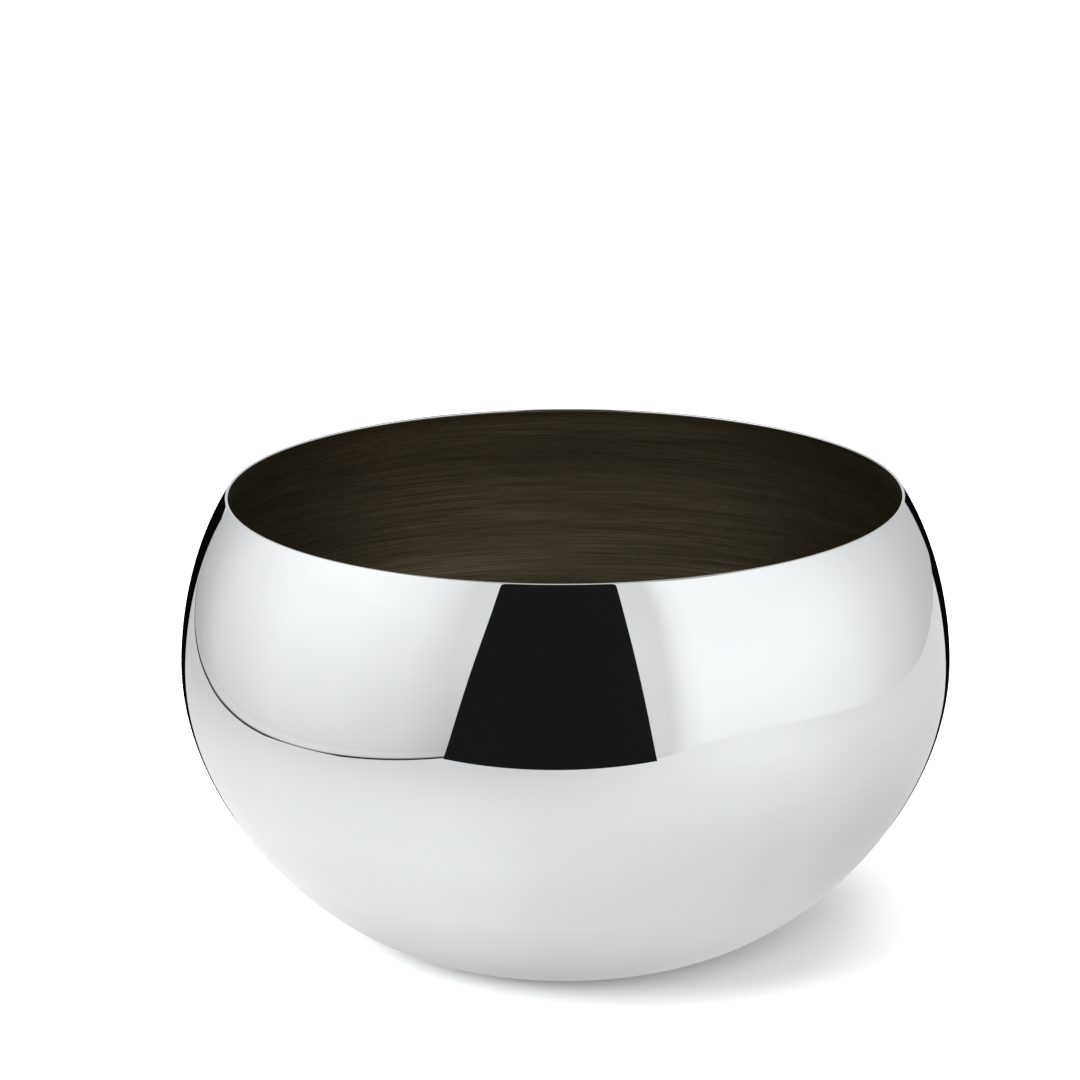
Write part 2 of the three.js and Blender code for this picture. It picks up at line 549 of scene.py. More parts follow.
def find_parameter(low: float, high: float, too_early: Callable[[float], bool]) -> float:
    """Halves a range of parameters until its ends meet.

    Args:
        low: The start of the range.
        high: The end of the range.
        too_early: Tells whether a parameter lies before the one that is looked for.

    Returns:
        The parameter that is looked for.
    """
    for _ in range(HALVINGS):
        middle = (low + high) / 2
        if too_early(middle):
            low = middle
        else:
            high = middle
    return high


@dataclass(frozen=True)
class Stretch:
    """One Bezier stretch of an outline, cut into a number of steps."""

    start: Vector
    leave: Vector
    arrive: Vector
    end: Vector
    steps: int

    def at(self, share: float) -> Vector:
        """Finds a point of the stretch.

        Args:
            share: The parameter, from 0 to 1.

        Returns:
            The point.
        """
        rest = 1.0 - share
        return (
            self.start * rest**3
            + self.leave * (3 * rest**2 * share)
            + self.arrive * (3 * rest * share**2)
            + self.end * share**3
        )

    def along(self, share: float) -> Vector:
        """Finds the direction of travel at a point of the stretch.

        Args:
            share: The parameter, from 0 to 1.

        Returns:
            The direction, as a vector of length 1.
        """
        rest = 1.0 - share
        tangent = (
            (self.leave - self.start) * rest**2
            + (self.arrive - self.leave) * (2 * rest * share)
            + (self.end - self.arrive) * share**2
        )
        return tangent.normalized()

    def across(self, share: float) -> Vector:
        """Returns the direction to the left of the direction of travel."""
        along = self.along(share)
        return Vector((-along.z, 0.0, along.x))

    def shifted(self, share: float, inset: float) -> Vector:
        """Returns the point at a parameter, moved by inset to the left of the direction of travel."""
        return self.at(share) + self.across(share) * inset

    def cut(self, share: float, first_steps: int, last_steps: int) -> tuple["Stretch", "Stretch"]:
        """Cuts the stretch in two at a parameter, without changing its shape.

        Args:
            share: The parameter, from 0 to 1.
            first_steps: The steps of the first part.
            last_steps: The steps of the second part.

        Returns:
            Both parts.
        """
        first = self.start.lerp(self.leave, share)
        middle = self.leave.lerp(self.arrive, share)
        last = self.arrive.lerp(self.end, share)
        before = first.lerp(middle, share)
        after = middle.lerp(last, share)
        point = before.lerp(after, share)
        return (
            Stretch(self.start, first, before, point, first_steps),
            Stretch(point, after, last, self.end, last_steps),
        )

    def first_share(self, length: float) -> float:
        """Returns roughly the parameter where a very short length ends, from the speed at the start."""
        return length / (self.leave - self.start).length / 3

    def after_start(self, length: float) -> float:
        """Returns the parameter of the point that lies a short length after the start."""
        return find_parameter(0.0, 1.0, lambda share: (self.at(share) - self.start).length < length)

    def before_end(self, length: float) -> float:
        """Returns the parameter of the point that lies a short length before the end."""
        return find_parameter(0.0, 1.0, lambda share: (self.end - self.at(share)).length > length)

    def cut_before_end(self, length: float) -> tuple["Stretch", "Stretch"]:
        """Cuts a short piece, of one step, off the end of the stretch."""
        return self.cut(self.before_end(length), self.steps, 1)


def line(start: Vector, end: Vector, steps: int = 1) -> Stretch:
    """Returns a straight stretch."""
    return Stretch(start, start.lerp(end, 1 / 3), start.lerp(end, 2 / 3), end, steps)


def corner(start: Vector, tip: Vector, end: Vector, steps: int = 4) -> Stretch:
    """Returns a quarter round that leaves towards the tip of the corner and arrives from it."""
    leave, arrive = start.lerp(tip, QUARTER_ARC_HANDLE), end.lerp(tip, QUARTER_ARC_HANDLE)
    return Stretch(start, leave, arrive, end, steps)


def joined(points: Sequence[Vector]) -> list[Stretch]:
    """Returns the straight stretches that join points in order."""
    return [line(start, end) for start, end in zip(points, points[1:])]


def rounded(points: Sequence[Vector], radius: float, steps: int = 4) -> list[Stretch]:
    """Joins points with straight stretches and rounds every corner between them.

    Args:
        points: The outline's points.
        radius: How far from each corner its rounding starts, at most a third of a neighbouring side.
        steps: The steps of each round.

    Returns:
        The stretches in order.
    """
    made: list[Stretch] = []
    here = points[0]
    for before, tip, after in zip(points, points[1:], points[2:]):
        back, ahead = before - tip, after - tip
        reach = min(radius, back.length / 3, ahead.length / 3)
        start, end = tip + back.normalized() * reach, tip + ahead.normalized() * reach
        made += [line(here, start), corner(start, tip, end, steps)]
        here = end
    made.append(line(here, points[-1]))
    return made


def deselect_all() -> None:
    """Deselects every object."""
    bpy.ops.object.select_all(action="DESELECT")


def make_active(piece: bpy.types.Object) -> None:
    """Selects one object alone and makes it active.

    Args:
        piece: The object.
    """
    deselect_all()
    piece.select_set(True)
    bpy.context.view_layer.objects.active = piece


def merge_doubles() -> None:
    """Merges the doubled points of the mesh in edit mode, and leaves all of it selected."""
    bpy.ops.mesh.select_all(action="SELECT")
    bpy.ops.mesh.remove_doubles(threshold=MERGE_DISTANCE)
    bpy.ops.mesh.select_all(action="SELECT")


def draw_outline(name: str, outline: Iterable[Stretch]) -> bpy.types.Object:
    """Draws an outline as a Bezier curve and turns it into a mesh of edges.

    Args:
        name: The name of the new object.
        outline: The stretches, each starting where the last one ends.

    Returns:
        The object, active and selected alone.
    """
    deselect_all()
    bpy.ops.curve.primitive_bezier_curve_add(location=(0, 0, 0))
    drawn = bpy.context.object
    drawn.name = name
    drawn.data.splines.clear()
    for stretch in outline:
        spline = drawn.data.splines.new("BEZIER")
        spline.resolution_u = stretch.steps
        spline.bezier_points.add(1)
        first, last = spline.bezier_points
        for knot in (first, last):
            knot.handle_left_type = "FREE"
            knot.handle_right_type = "FREE"
        first.co, first.handle_left, first.handle_right = stretch.start, stretch.start, stretch.leave
        last.co, last.handle_left, last.handle_right = stretch.end, stretch.arrive, stretch.end
    bpy.ops.object.convert(target="MESH")
    return bpy.context.object


def turn_outline(
    name: str,
    outline: Iterable[Stretch],
    turn_steps: int = TURN_STEPS,
) -> bpy.types.Object:
    """Turns an outline about the axis into a surface whose faces point outwards.

    Args:
        name: The piece's name.
        outline: The stretches of the outline.
        turn_steps: The number of steps in the full turn.

    Returns:
        The piece, active and selected alone.
    """
    piece = draw_outline(name, outline)
    bpy.ops.object.mode_set(mode="EDIT")
    merge_doubles()
    bpy.ops.mesh.spin(steps=turn_steps, angle=math.tau, center=(0, 0, 0), axis=tuple(UP))
    merge_doubles()
    bpy.ops.mesh.normals_make_consistent(inside=False)
    bpy.ops.object.mode_set(mode="OBJECT")
    piece.data.name = name
    return piece


def thicken(piece: bpy.types.Object, thickness: float) -> None:
    """Gives a surface its sheet thickness on the side that its faces turn away from.

    Args:
        piece: The piece.
        thickness: The sheet's thickness.
    """
    make_active(piece)
    bpy.ops.object.modifier_add(type="SOLIDIFY")
    sheet = piece.modifiers[-1]
    sheet.thickness = thickness
    sheet.offset = -1.0
    sheet.use_even_offset = True
    sheet.use_quality_normals = True
    bpy.ops.object.modifier_apply(modifier=sheet.name)


def smooth(piece: bpy.types.Object) -> None:
    """Shades a piece smooth except across its sharp edges."""
    make_active(piece)
    bpy.ops.object.shade_smooth_by_angle(angle=SHARP_ANGLE)


def hand_over(piece: bpy.types.Object, material: bpy.types.Material, node: str) -> None:
    """Dresses a finished piece and puts it in its CAD node's place.

    Args:
        piece: The piece.
        material: Its material.
        node: The CAD node that it stands for.
    """
    smooth(piece)
    piece.data.materials.clear()
    piece.data.materials.append(material)
    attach(piece, "root")
    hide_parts(node)
    faces = len(piece.data.polygons)
    LOG.info("%s stands for %s in %s: %d faces", piece.name, node, material.name, faces)


# ---------------------------------------------------------------- sub-assemblies


@dataclass(frozen=True)
class WallLine:
    """A wall's outline in two curves that share an upright tangent and one curvature at the belly."""

    floor: Vector
    floor_reach: float
    belly: Vector
    belly_drop: float
    mouth: Vector
    mouth_slope: float
    mouth_reach: float
    lower_steps: int = 64
    upper_steps: int = 48

    @property
    def mouth_handle(self) -> Vector:
        """The handle that gives the wall its slope at the mouth."""
        down_the_wall = flat(math.cos(self.mouth_slope), -math.sin(self.mouth_slope))
        return self.mouth + down_the_wall * self.mouth_reach

    def lower(self) -> Stretch:
        """Returns the curve from the floor to the belly."""
        leave, arrive = self.floor + flat(self.floor_reach, 0.0), self.belly - UP * self.belly_drop
        return Stretch(self.floor, leave, arrive, self.belly, self.lower_steps)

    def upper(self) -> Stretch:
        """Finds the curve from the belly to the mouth, whose curvature at the belly is the lower curve's.

        Returns:
            The curve.
        """
        above = self.belly.x - self.mouth_handle.x
        below = self.belly.x - self.floor.x - self.floor_reach
        leave = self.belly + UP * self.belly_drop * math.sqrt(above / below)
        return Stretch(self.belly, leave, self.mouth_handle, self.mouth, self.upper_steps)


@dataclass
class Walls:
    """The two walls and the ring that closes them: four pieces that meet flush."""

    mirror: MirrorSteel
    brushed: BrushedSteel
    sheet: float = 0.6 * MM
    gap: float = GAP
    foot_radius: float = 64 * MM
    foot_reach: float = 41 * MM
    belly_drop: float = 67.5 * MM
    mouth_radius: float = 153.5 * MM
    mouth_slope: float = math.radians(57.6)
    mouth_reach: float = 38.4 * MM
    liner_floor_radius: float = 62 * MM
    liner_floor_reach: float = 40 * MM
    liner_belly_drop: float = 58 * MM
    liner_mouth_reach: float = 26 * MM
    ring_depth: float = 1.5 * MM
    ring_depth_inside: float = 0.3 * MM
    lip_height: float = 8 * MM
    vent_radius: float = 3 * MM
    recess_round: float = 0.7 * MM
    seam_strip: float = 0.2 * MM  # a narrow strip along an edge keeps the shading true up to the edge
    lip_steps: int = 8
    ring_steps: int = 4
    crown_steps: int = 10
    floor_steps: int = 12
    outer: WallLine = field(init=False)
    inner: WallLine = field(init=False)

    def __post_init__(self) -> None:
        """Works out both walls' outlines from the frame."""
        shell_low, shell_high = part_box("lower_shell")
        upper_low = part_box("upper_shell")[0]
        liner_low, liner_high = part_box("inner_liner")
        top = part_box("rim_ring")[1].z
        belly_height = upper_low.z
        into_hollow = flat(-math.sin(self.mouth_slope), -math.cos(self.mouth_slope))
        half_rim = self.rim_width / 2
        mouth = flat(self.mouth_radius, top - half_rim * (1 + into_hollow.z))
        self.outer = WallLine(
            floor=flat(self.foot_radius, shell_low.z),
            floor_reach=self.foot_reach,
            belly=flat(shell_high.x, belly_height),
            belly_drop=self.belly_drop,
            mouth=mouth,
            mouth_slope=self.mouth_slope,
            mouth_reach=self.mouth_reach,
        )
        self.inner = WallLine(
            floor=flat(self.liner_floor_radius, liner_low.z),
            floor_reach=self.liner_floor_reach,
            belly=flat(liner_high.x, belly_height),
            belly_drop=self.liner_belly_drop,
            mouth=mouth + into_hollow * (self.sheet + self.gap),
            mouth_slope=self.mouth_slope,
            mouth_reach=self.liner_mouth_reach,
        )

    @property
    def rim_width(self) -> float:
        """How thick the two walls and the gap between them are at the mouth."""
        return 2 * self.sheet + self.gap

    def build(self) -> None:
        """Builds and dresses all four pieces."""
        polished = self.mirror.material()
        brushed = self.brushed.material()
        hand_over(self.lower_shell(), polished, "lower_shell")
        hand_over(self.upper_shell(), polished, "upper_shell")
        hand_over(self.rim_ring(), polished, "rim_ring")
        hand_over(self.inner_liner(), brushed, "inner_liner")

    def lower_shell(self) -> bpy.types.Object:
        """Builds the lower half: the vented recess, the foot, the bowl, and the upper half's lip.

        Returns:
            The piece.
        """
        pad_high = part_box("base_pad")[1]
        recess_radius = pad_high.x + self.gap
        ceiling = pad_high.z + self.gap
        foot = self.outer.floor.z
        underside = rounded(
            [
                flat(self.vent_radius, ceiling),
                flat(recess_radius, ceiling),
                flat(recess_radius, foot),
                self.outer.floor,
            ],
            self.recess_round,
        )
        bowl, strip = self.outer.lower().cut_before_end(self.seam_strip)
        above = self.outer.upper()
        step = self.sheet + self.gap
        lip_foot = self.outer.belly - flat(step, 0.0)
        lip_top = above.shifted(above.after_start(self.lip_height), step)
        lip = [line(self.outer.belly, lip_foot), line(lip_foot, lip_top, self.lip_steps)]
        piece = turn_outline("bucket_lower_shell", [*underside, bowl, strip, *lip])
        thicken(piece, self.sheet)
        return piece

    def upper_shell(self) -> bpy.types.Object:
        """Builds the upper half of the outer wall, from the belly seam to the closing ring.

        Returns:
            The piece.
        """
        wall = self.outer.upper()
        below_ring = wall.cut_before_end(self.ring_depth)[0]
        strip, rest = below_ring.cut(wall.first_share(self.seam_strip), 1, wall.steps)
        piece = turn_outline("bucket_upper_shell", [strip, *rest.cut_before_end(self.seam_strip)])
        thicken(piece, self.sheet)
        return piece

    def rim_ring(self) -> bpy.types.Object:
        """Builds the ring that closes both walls with a fully rounded edge.

        Returns:
            The piece.
        """
        outer, inner = self.outer.upper(), self.inner.upper()
        outside = outer.cut(outer.before_end(self.ring_depth), 1, self.ring_steps)[1]
        half = self.rim_width / 2
        rise = outer.along(1.0) * half
        crown = outer.shifted(1.0, half) + rise
        far = outer.shifted(1.0, self.rim_width)
        ledge = inner.before_end(self.ring_depth_inside)
        seat = inner.at(inner.before_end(self.ring_depth))
        outline = [
            outside,
            corner(outer.end, outer.end + rise, crown, self.crown_steps),
            corner(crown, far + rise, far, self.crown_steps),
            *joined([far, inner.shifted(ledge, self.sheet), inner.at(ledge), seat, outside.start]),
        ]
        return turn_outline("bucket_rim_ring", outline)

    def inner_liner(self) -> bpy.types.Object:
        """Builds the inner wall, spun in one piece from its flat floor to the closing ring.

        Returns:
            The piece.
        """
        below_ring = self.inner.upper().cut_before_end(self.ring_depth_inside)[0]
        floor = line(flat(0.0, self.inner.floor.z), self.inner.floor, self.floor_steps)
        piece = turn_outline("bucket_inner_liner", [floor, self.inner.lower(), below_ring])
        thicken(piece, self.sheet)
        return piece


@dataclass
class FloorStack:
    """The two discs between the outer and the inner floor."""

    steel: MillSteel
    foam: Foam
    plate_hole: float = 6 * MM
    plate_round: float = 0.5 * MM
    foam_round: float = 0.9 * MM
    turn_steps: int = 128

    def build(self) -> None:
        """Builds and dresses both discs."""
        plate = self.disc("bucket_base_plate", "base_plate", self.plate_hole, self.plate_round)
        hand_over(plate, self.steel.material(), "base_plate")
        spacer = self.disc("bucket_floor_spacer", "floor_spacer", 0.0, self.foam_round)
        hand_over(spacer, self.foam.material(), "floor_spacer")

    def disc(self, name: str, node: str, hole: float, edge_round: float) -> bpy.types.Object:
        """Builds a flat disc with rounded edges.

        Args:
            name: The piece's name.
            node: The CAD node that gives its size and place.
            hole: The radius of the hole in its middle, or 0.
            edge_round: The rounding of its edges.

        Returns:
            The piece.
        """
        low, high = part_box(node)
        loop = [
            flat(hole, low.z),
            flat(high.x, low.z),
            flat(high.x, high.z),
            flat(hole, high.z),
        ]
        outline = rounded(loop, edge_round)
        if hole > 0:
            outline.append(line(loop[-1], loop[0], steps=2))
        return turn_outline(name, outline, self.turn_steps)


@dataclass
class Underside:
    """The plug that closes the vent, and the pad that the bucket stands on."""

    steel: MillSteel
    rubber: MouldedRubber
    gap: float = GAP
    head_thickness: float = 0.6 * MM
    head_radius: float = 5 * MM
    shank_radius: float = 2.7 * MM
    dimple_radius: float = 1.2 * MM
    dimple_depth: float = 0.25 * MM
    groove_pitch: float = 5 * MM
    groove_width: float = 1.6 * MM
    groove_depth: float = 0.45 * MM
    first_groove: float = 9 * MM
    last_groove: float = 42 * MM
    plug_round: float = 0.25 * MM
    pad_round: float = 0.3 * MM
    round_steps: int = 3
    plug_turn_steps: int = 64
    pad_turn_steps: int = 192

    def build(self) -> None:
        """Builds and dresses both pieces."""
        hand_over(self.vent_plug(), self.steel.material(), "vent_plug")
        hand_over(self.base_pad(), self.rubber.material(), "base_pad")

    def vent_plug(self) -> bpy.types.Object:
        """Builds the plug: a low head with a centre dimple, and a shank with a lead-in.

        Returns:
            The piece.
        """
        low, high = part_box("vent_plug")
        head_top = low.z + self.head_thickness
        outline = rounded(
            [
                flat(0.0, low.z + self.dimple_depth),
                flat(self.dimple_radius / 2, low.z + self.dimple_depth),
                flat(self.dimple_radius, low.z),
                flat(self.head_radius, low.z),
                flat(self.head_radius, head_top),
                flat(self.shank_radius, head_top),
                flat(self.shank_radius, high.z),
                flat(0.0, high.z),
            ],
            self.plug_round,
            self.round_steps,
        )
        return turn_outline("bucket_vent_plug", outline, self.plug_turn_steps)

    def base_pad(self) -> bpy.types.Object:
        """Builds the pad, with grip grooves below and a pocket for the plug's head above.

        Returns:
            The piece.
        """
        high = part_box("base_pad")[1]
        pocket = self.head_radius + self.gap
        pocket_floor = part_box("vent_plug")[0].z - self.gap
        points = [flat(0.0, 0.0)]
        start = self.first_groove
        while start < self.last_groove:
            end = start + self.groove_width
            points += [
                flat(start, 0.0),
                flat(start + self.groove_depth / 2, self.groove_depth),
                flat(end - self.groove_depth / 2, self.groove_depth),
                flat(end, 0.0),
            ]
            start += self.groove_pitch
        points += [
            flat(high.x, 0.0),
            flat(high.x, high.z),
            flat(pocket, high.z),
            flat(pocket, pocket_floor),
            flat(0.0, pocket_floor),
        ]
        outline = rounded(points, self.pad_round, self.round_steps)
        return turn_outline("bucket_base_pad", outline, self.pad_turn_steps)


# ---------------------------------------------------------------- studio

STEEL_SHARE = 0.70  # the share of light that the polished steel gives back
FULL_TURN = (-180.0, 180.0)  # in degrees
SCREEN_HEIGHT = 1.2


def turn_and_reach(graph: Graph) -> tuple[Value, Value, Value]:
    """Finds where a point of the stage lies as seen from the bucket's axis.

    Args:
        graph: The material's graph.

    Returns:
        The turn in degrees from the front, positive to the right, the distance from the axis,
        and the height.
    """
    x, y, height = graph.parts(graph.place())
    turn = graph.math("ARCTAN2", x, y * -1.0) * math.degrees(1.0)
    return turn, graph.math("SQRT", x * x + y * y), height


def lit(name: str, add_light: Callable[[Graph], Value], brightest: float) -> bpy.types.Material:
    """Makes a material that gives off light.

    Args:
        name: The material's name.
        add_light: Adds the nodes that work out the light, as a share of the brightest.
        brightest: The tone that the polished steel shows where the share is 1.

    Returns:
        The material.
    """
    material, graph = new_material(name)
    sockets = {"Color": add_light(graph), "Strength": brightest / STEEL_SHARE}
    light = graph.node("ShaderNodeEmission", {}, sockets)
    graph.node("ShaderNodeOutputMaterial", {}, {"Surface": graph.out(light)})
    return material


@dataclass(frozen=True)
class Glow:
    """A lit surface whose light changes with its direction from the bucket and with its height."""

    name: str
    by_turn: Stops = ((-180, 1.0), (180, 1.0))
    by_height: Stops = ((0.0, 1.0), (SCREEN_HEIGHT, 1.0))
    brightest: float = 1.0
    tallest: float = SCREEN_HEIGHT

    def share(self, graph: Graph) -> Value:
        """Adds the nodes that work out the light.

        Args:
            graph: The material's graph.

        Returns:
            The light as a share of the brightest.
        """
        turn, _, height = turn_and_reach(graph)
        around = graph.ramp(turn, FULL_TURN, self.by_turn)
        return around * graph.ramp(height, (0.0, self.tallest), self.by_height)

    def material(self) -> bpy.types.Material:
        """Returns the material."""
        return lit(self.name, self.share, self.brightest)


@dataclass(frozen=True)
class FloorGlow:
    """The floor as the polished steel shows it: each side has its own shade round the foot."""

    name: str
    left_side: Stops
    right_side: Stops
    by_turn: Stops
    sides_meet: tuple[float, float] = (-15.0, 50.0)
    widest: float = 1.2

    def share(self, graph: Graph) -> Value:
        """Adds the nodes that work out the light.

        Args:
            graph: The material's graph.

        Returns:
            The light as a share of the brightest.
        """
        turn, reach, _ = turn_and_reach(graph)
        left = graph.ramp(reach, (0.0, self.widest), self.left_side)
        right = graph.ramp(reach, (0.0, self.widest), self.right_side)
        rightness = graph.share(turn, *self.sides_meet)
        both = left * (1.0 - rightness) + right * rightness
        return both * graph.ramp(turn, FULL_TURN, self.by_turn)

    def material(self) -> bpy.types.Material:
        """Returns the material."""
        return lit(self.name, self.share, 1.0)


def stage_reflection(surface: bpy.types.Object, glow: Glow | FloorGlow) -> None:
    """Lights a surface and adds it to the stage, where it shows in reflections alone.

    Args:
        surface: The surface.
        glow: Its light.
    """
    surface.data.materials.append(glow.material())
    surface.visible_camera = False
    surface.visible_diffuse = False
    surface.visible_transmission = False
    surface.visible_volume_scatter = False
    surface.visible_shadow = False


@dataclass(frozen=True)
class Screen:
    """A tall screen that stands upright along a line on the floor."""

    name: str
    foot: Sequence[tuple[float, float]]
    glow: Glow
    height: float = SCREEN_HEIGHT

    def build(self) -> None:
        """Draws the screen's foot and extrudes it upwards."""
        screen = draw_outline(self.name, joined([Vector((x, y, 0.0)) for x, y in self.foot]))
        bpy.ops.object.mode_set(mode="EDIT")
        merge_doubles()
        bpy.ops.mesh.extrude_edges_move(TRANSFORM_OT_translate={"value": (0, 0, self.height)})
        bpy.ops.object.mode_set(mode="OBJECT")
        stage_reflection(screen, self.glow)


@dataclass(frozen=True)
class Card:
    """A flat card cut to an outline."""

    name: str
    outline: Sequence[Stretch]
    glow: Glow

    def build(self) -> None:
        """Draws the card's outline and fills it."""
        card = draw_outline(self.name, self.outline)
        bpy.ops.object.mode_set(mode="EDIT")
        merge_doubles()
        bpy.ops.mesh.edge_face_add()
        bpy.ops.object.mode_set(mode="OBJECT")
        stage_reflection(card, self.glow)


@dataclass(frozen=True)
class Lamp:
    """A broad soft lamp that reflections don't see. Its spread is its width in degrees."""

    name: str
    towards: tuple[float, float, float]
    strength: float
    spread: float

    def build(self) -> None:
        """Adds the lamp."""
        deselect_all()
        bpy.ops.object.light_add(type="SUN", location=(0, 0, 0))
        lamp = bpy.context.object
        lamp.name = self.name
        lamp.data.energy = self.strength
        lamp.data.angle = math.radians(self.spread)
        lamp.rotation_euler = Vector(self.towards).to_track_quat("-Z", "Y").to_euler()
        lamp.visible_glossy = False


@dataclass
class Studio:
    """The floor, the light, the screens and cards that the steel mirrors, and the camera."""

    floor_size: float = 14.0
    floor_white: float = 0.8
    mirrored_floor_height: float = 0.05 * MM
    mat_height: float = 0.1 * MM
    room_light: float = 1.1
    top_light: Lamp = Lamp("top_light", towards=(0.12, 0.0, -1.0), strength=2.9, spread=70.0)
    left_light: Lamp = Lamp("left_light", towards=(0.72, 0.48, -0.5), strength=4.1, spread=30.0)
    front_light: Lamp = Lamp("front_light", towards=(0.06, 0.9, -0.42), strength=1.5, spread=25.0)
    dome_radius: float = 6.0
    black_card: Glow = Glow("black_card", brightest=0.0086)
    black_mat: Glow = Glow("black_mat", brightest=0.0015)
    card_distance: float = 0.6706
    card_slant: float = 0.0756
    card_foot: tuple[float, float] = (-0.391, 0.297)
    card_bend: tuple[float, float] = (-0.307, 0.245)
    card_top: tuple[float, float] = (-0.265, 0.219)
    card_flare_height: float = 0.65
    card_steps: int = 16
    mat_edge: Sequence[tuple[float, float]] = ((0.18, 0.12), (0.33, 0.36), (2.75, 5.0))
    camera_place: tuple[float, float, float] = (0.0, -2.1, 0.7703)
    camera_dip: float = 0.2713
    camera_roll: float = -0.0035
    lens: float = 160.2
    sensor_width: float = 36.0
    farthest_seen: float = 60.0
    sideways: float = -0.0232
    upward: float = -0.0010

    def build(self) -> None:
        """Builds the whole stage."""
        self.floor()
        self.mirrored_floor()
        self.room()
        for lamp in (self.top_light, self.left_light, self.front_light):
            lamp.build()
        self.dome()
        for part in (self.left_screen(), self.right_screen(), self.front_card(), self.back_mat()):
            part.build()
        self.camera()

    def floor(self) -> None:
        """Lays a pale floor that is solid from above and clear from below."""
        deselect_all()
        bpy.ops.mesh.primitive_plane_add(size=self.floor_size, location=(0, 0, 0))
        floor = bpy.context.object
        floor.name = "stage_floor"
        material, graph = new_material("pale_floor")
        paint = graph.node("ShaderNodeBsdfDiffuse", {}, {"Color": (*[self.floor_white] * 3, 1.0)})
        clear = graph.node("ShaderNodeBsdfTransparent")
        below = graph.out(graph.node("ShaderNodeNewGeometry"), "Backfacing")
        mixed = graph.node("ShaderNodeMixShader", {}, {0: below, 1: graph.out(paint), 2: graph.out(clear)})
        graph.node("ShaderNodeOutputMaterial", {}, {"Surface": graph.out(mixed)})
        floor.data.materials.append(material)

    def mirrored_floor(self) -> None:
        """Lays the floor that the steel mirrors just above the floor that the camera sees."""
        deselect_all()
        place = (0, 0, self.mirrored_floor_height)
        bpy.ops.mesh.primitive_plane_add(size=self.floor_size, location=place)
        floor = bpy.context.object
        floor.name = "stage_floor_mirrored"
        glow = FloorGlow(
            "mirrored_floor",
            left_side=(
                (0.07, 0.36), (0.09, 0.47), (0.11, 0.61), (0.14, 0.74), (0.2, 0.80), (0.3, 0.78),
                (0.6, 0.64),
            ),
            right_side=(
                (0.07, 0.38), (0.09, 0.48), (0.12, 0.58), (0.2, 0.62), (0.3, 0.73), (0.45, 0.80),
                (0.6, 0.84),
            ),
            by_turn=(
                (-180, 0.66), (-150, 0.70), (-130, 0.82), (-110, 0.93), (-80, 1.0), (-30, 1.0),
                (-5, 0.94), (40, 1.0), (60, 0.97), (80, 0.87), (120, 0.74), (150, 0.70),
                (180, 0.66),
            ),
        )
        stage_reflection(floor, glow)

    def room(self) -> None:
        """Sets a plain white world that reflections don't see."""
        world = bpy.data.worlds.new("white_room")
        bpy.context.scene.world = world
        world.use_nodes = True
        graph = Graph(world.node_tree)
        sockets = {"Color": (1, 1, 1, 1), "Strength": self.room_light}
        light = graph.node("ShaderNodeBackground", {}, sockets)
        graph.node("ShaderNodeOutputWorld", {}, {"Surface": graph.out(light)})
        world.cycles_visibility.glossy = False

    def dome(self) -> None:
        """Adds the dim ceiling that the steel mirrors above and behind the screens."""
        deselect_all()
        bpy.ops.mesh.primitive_uv_sphere_add(segments=64, ring_count=32, radius=self.dome_radius)
        dome = bpy.context.object
        dome.name = "stage_dome"
        bpy.ops.object.mode_set(mode="EDIT")
        bpy.ops.mesh.select_all(action="SELECT")
        bpy.ops.mesh.bisect(plane_co=(0, 0, 0), plane_no=tuple(UP), clear_inner=True)
        bpy.ops.object.mode_set(mode="OBJECT")
        ceiling = Glow(
            "dim_ceiling",
            by_height=(
                (0.0, 0.58), (3.0, 0.56), (4.6, 0.40), (5.5, 0.26), (5.8, 0.60), (6.0, 0.70),
            ),
            tallest=self.dome_radius,
        )
        stage_reflection(dome, ceiling)

    def left_screen(self) -> Screen:
        """Returns the near white screen on the left, with a dark gap along its foot.

        Returns:
            The screen.
        """
        glow = Glow(
            "left_screen",
            by_turn=(
                (-160, 0.50), (-143, 0.52), (-128, 0.62), (-110, 0.84), (-95, 0.92), (-80, 1.0),
                (-60, 0.97), (-42, 0.85), (-30, 0.68),
            ),
            by_height=(
                (0.0, 0.03), (0.006, 0.03), (0.008, 0.68), (0.026, 0.72), (0.030, 0.66),
                (0.036, 0.70), (0.10, 0.77), (0.26, 0.90), (0.45, 1.0),
            ),
        )
        foot = (
            (-0.20, -0.72), (-0.395, -0.67), (-0.48, -0.25), (-0.535, -0.03), (-0.575, 0.13),
            (-0.605, 0.32), (-0.61, 0.62), (-0.66, 0.95),
        )
        return Screen("stage_left_screen", foot, glow)

    def right_screen(self) -> Screen:
        """Returns the white screen on the right, which stands further away and curves round behind.

        Returns:
            The screen.
        """
        glow = Glow(
            "right_screen",
            by_turn=(
                (18, 0.73), (27, 0.72), (32, 0.91), (38, 1.0), (60, 0.99), (75, 0.96), (85, 0.91),
                (105, 0.73), (125, 0.58), (150, 0.48),
            ),
            by_height=(
                (0.0, 0.84), (0.004, 0.84), (0.006, 0.87), (0.15, 0.91), (0.30, 0.95), (0.45, 0.95),
                (0.7, 0.92),
            ),
        )
        foot = (
            (0.10, -0.74), (0.32, -0.725), (0.605, -0.835), (0.845, -0.765), (0.97, -0.625),
            (0.99, -0.43), (0.965, -0.23), (0.925, -0.10), (0.88, 0.015), (0.87, 0.165),
            (0.835, 0.33), (0.80, 0.46), (0.795, 0.59), (0.78, 0.745), (0.72, 0.875), (0.585, 1.03),
        )
        return Screen("stage_right_screen", foot, glow)

    def on_card(self, x: float, height: float) -> Vector:
        """Returns a point of the front card's upright plane, whose right side stands further away."""
        return Vector((x, -self.card_distance - x * self.card_slant, height))

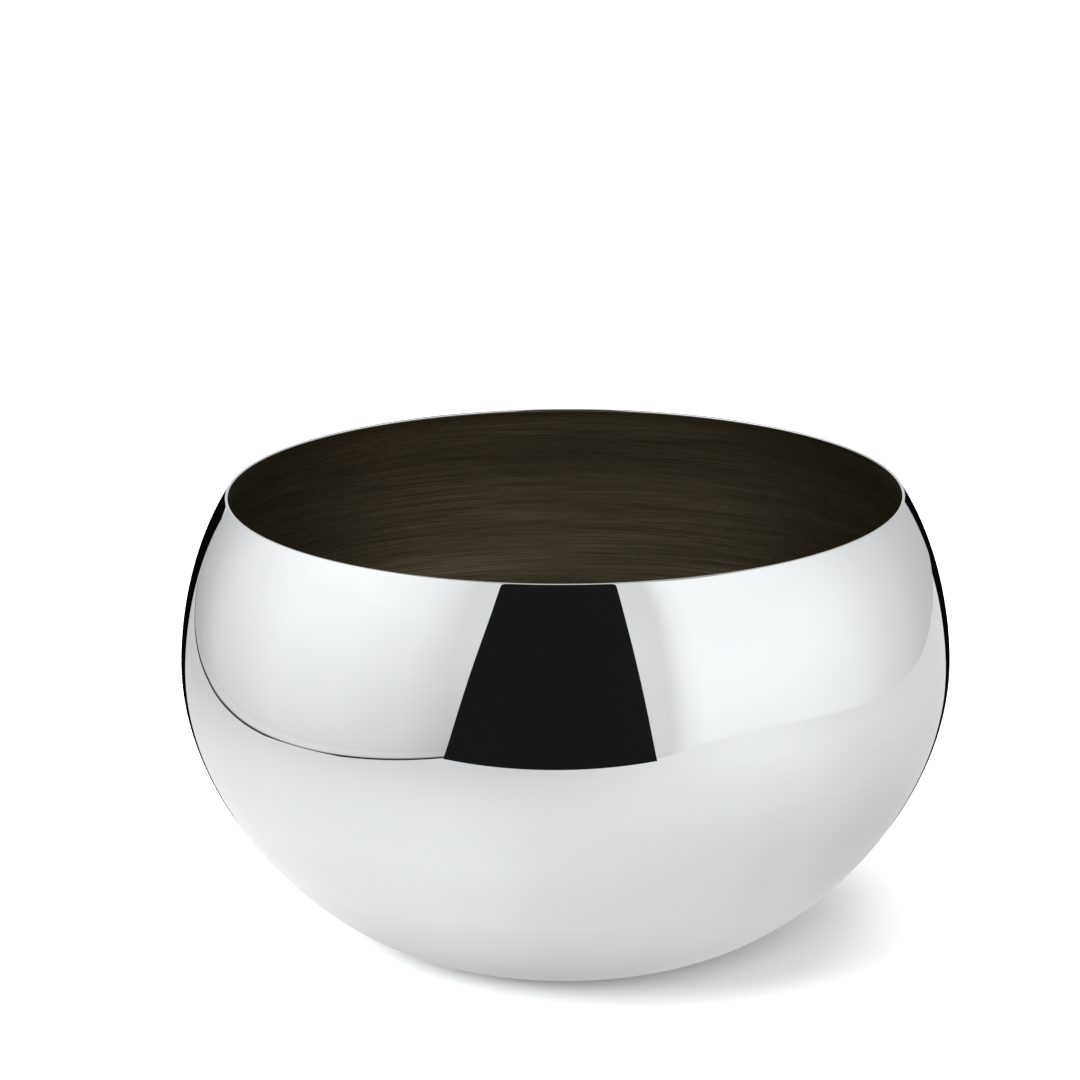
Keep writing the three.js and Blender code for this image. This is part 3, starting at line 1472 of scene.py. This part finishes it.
    def front_card(self) -> Card:
        """Returns the tall black card in front, whose edges flare out towards its foot.

        Returns:
            The card.
        """
        third = self.card_flare_height / 3
        low_left, low_right = [self.on_card(x, 0.0) for x in self.card_foot]
        bend_left, bend_right = [self.on_card(x, third) for x in self.card_bend]
        high_left, high_right = [self.on_card(x, self.card_flare_height) for x in self.card_top]
        rest = UP * (SCREEN_HEIGHT - self.card_flare_height)
        outline = (
            line(low_left, low_right),
            Stretch(low_right, bend_right, high_right - UP * third, high_right, self.card_steps),
            *joined([high_right, high_right + rest, high_left + rest, high_left]),
            Stretch(high_left, high_left - UP * third, bend_left, low_left, self.card_steps),
        )
        return Card("stage_front_card", outline, self.black_card)

    def back_mat(self) -> Card:
        """Returns the black mat on the floor behind, which widens as it runs back.

        Returns:
            The card.
        """
        right = [Vector((x, y, self.mat_height)) for x, y in self.mat_edge]
        left = [Vector((-x, y, self.mat_height)) for x, y in reversed(self.mat_edge)]
        return Card("stage_back_mat", joined([*right, *left, right[0]]), self.black_mat)

    def camera(self) -> None:
        """Sets the camera that looks down at the bucket from the front."""
        deselect_all()
        bpy.ops.object.camera_add(location=self.camera_place)
        camera = bpy.context.object
        camera.name = "main_camera"
        tilt = Matrix.Rotation(math.pi / 2 - self.camera_dip, 3, "X")
        roll = Matrix.Rotation(self.camera_roll, 3, "Z")
        camera.rotation_euler = (tilt @ roll).to_euler()
        camera.data.lens = self.lens
        camera.data.sensor_width = self.sensor_width
        camera.data.shift_x = self.sideways
        camera.data.shift_y = self.upward
        camera.data.clip_end = self.farthest_seen
        bpy.context.scene.camera = camera


def set_view() -> None:
    """Shows colours as they are, with no film look."""
    view = bpy.context.scene.view_settings
    view.view_transform = "Standard"
    view.look = "None"
    view.exposure = 0.0
    view.gamma = 1.0


def main() -> None:
    """Builds the bucket and its stage."""
    logging.basicConfig(level=logging.INFO, format="%(message)s")
    Walls(MirrorSteel(), BrushedSteel()).build()
    FloorStack(MillSteel(Grain.ROLLED), Foam()).build()
    Underside(MillSteel(Grain.TURNED), MouldedRubber()).build()
    Studio().build()
    set_view()


if __name__ == "__main__":
    main()
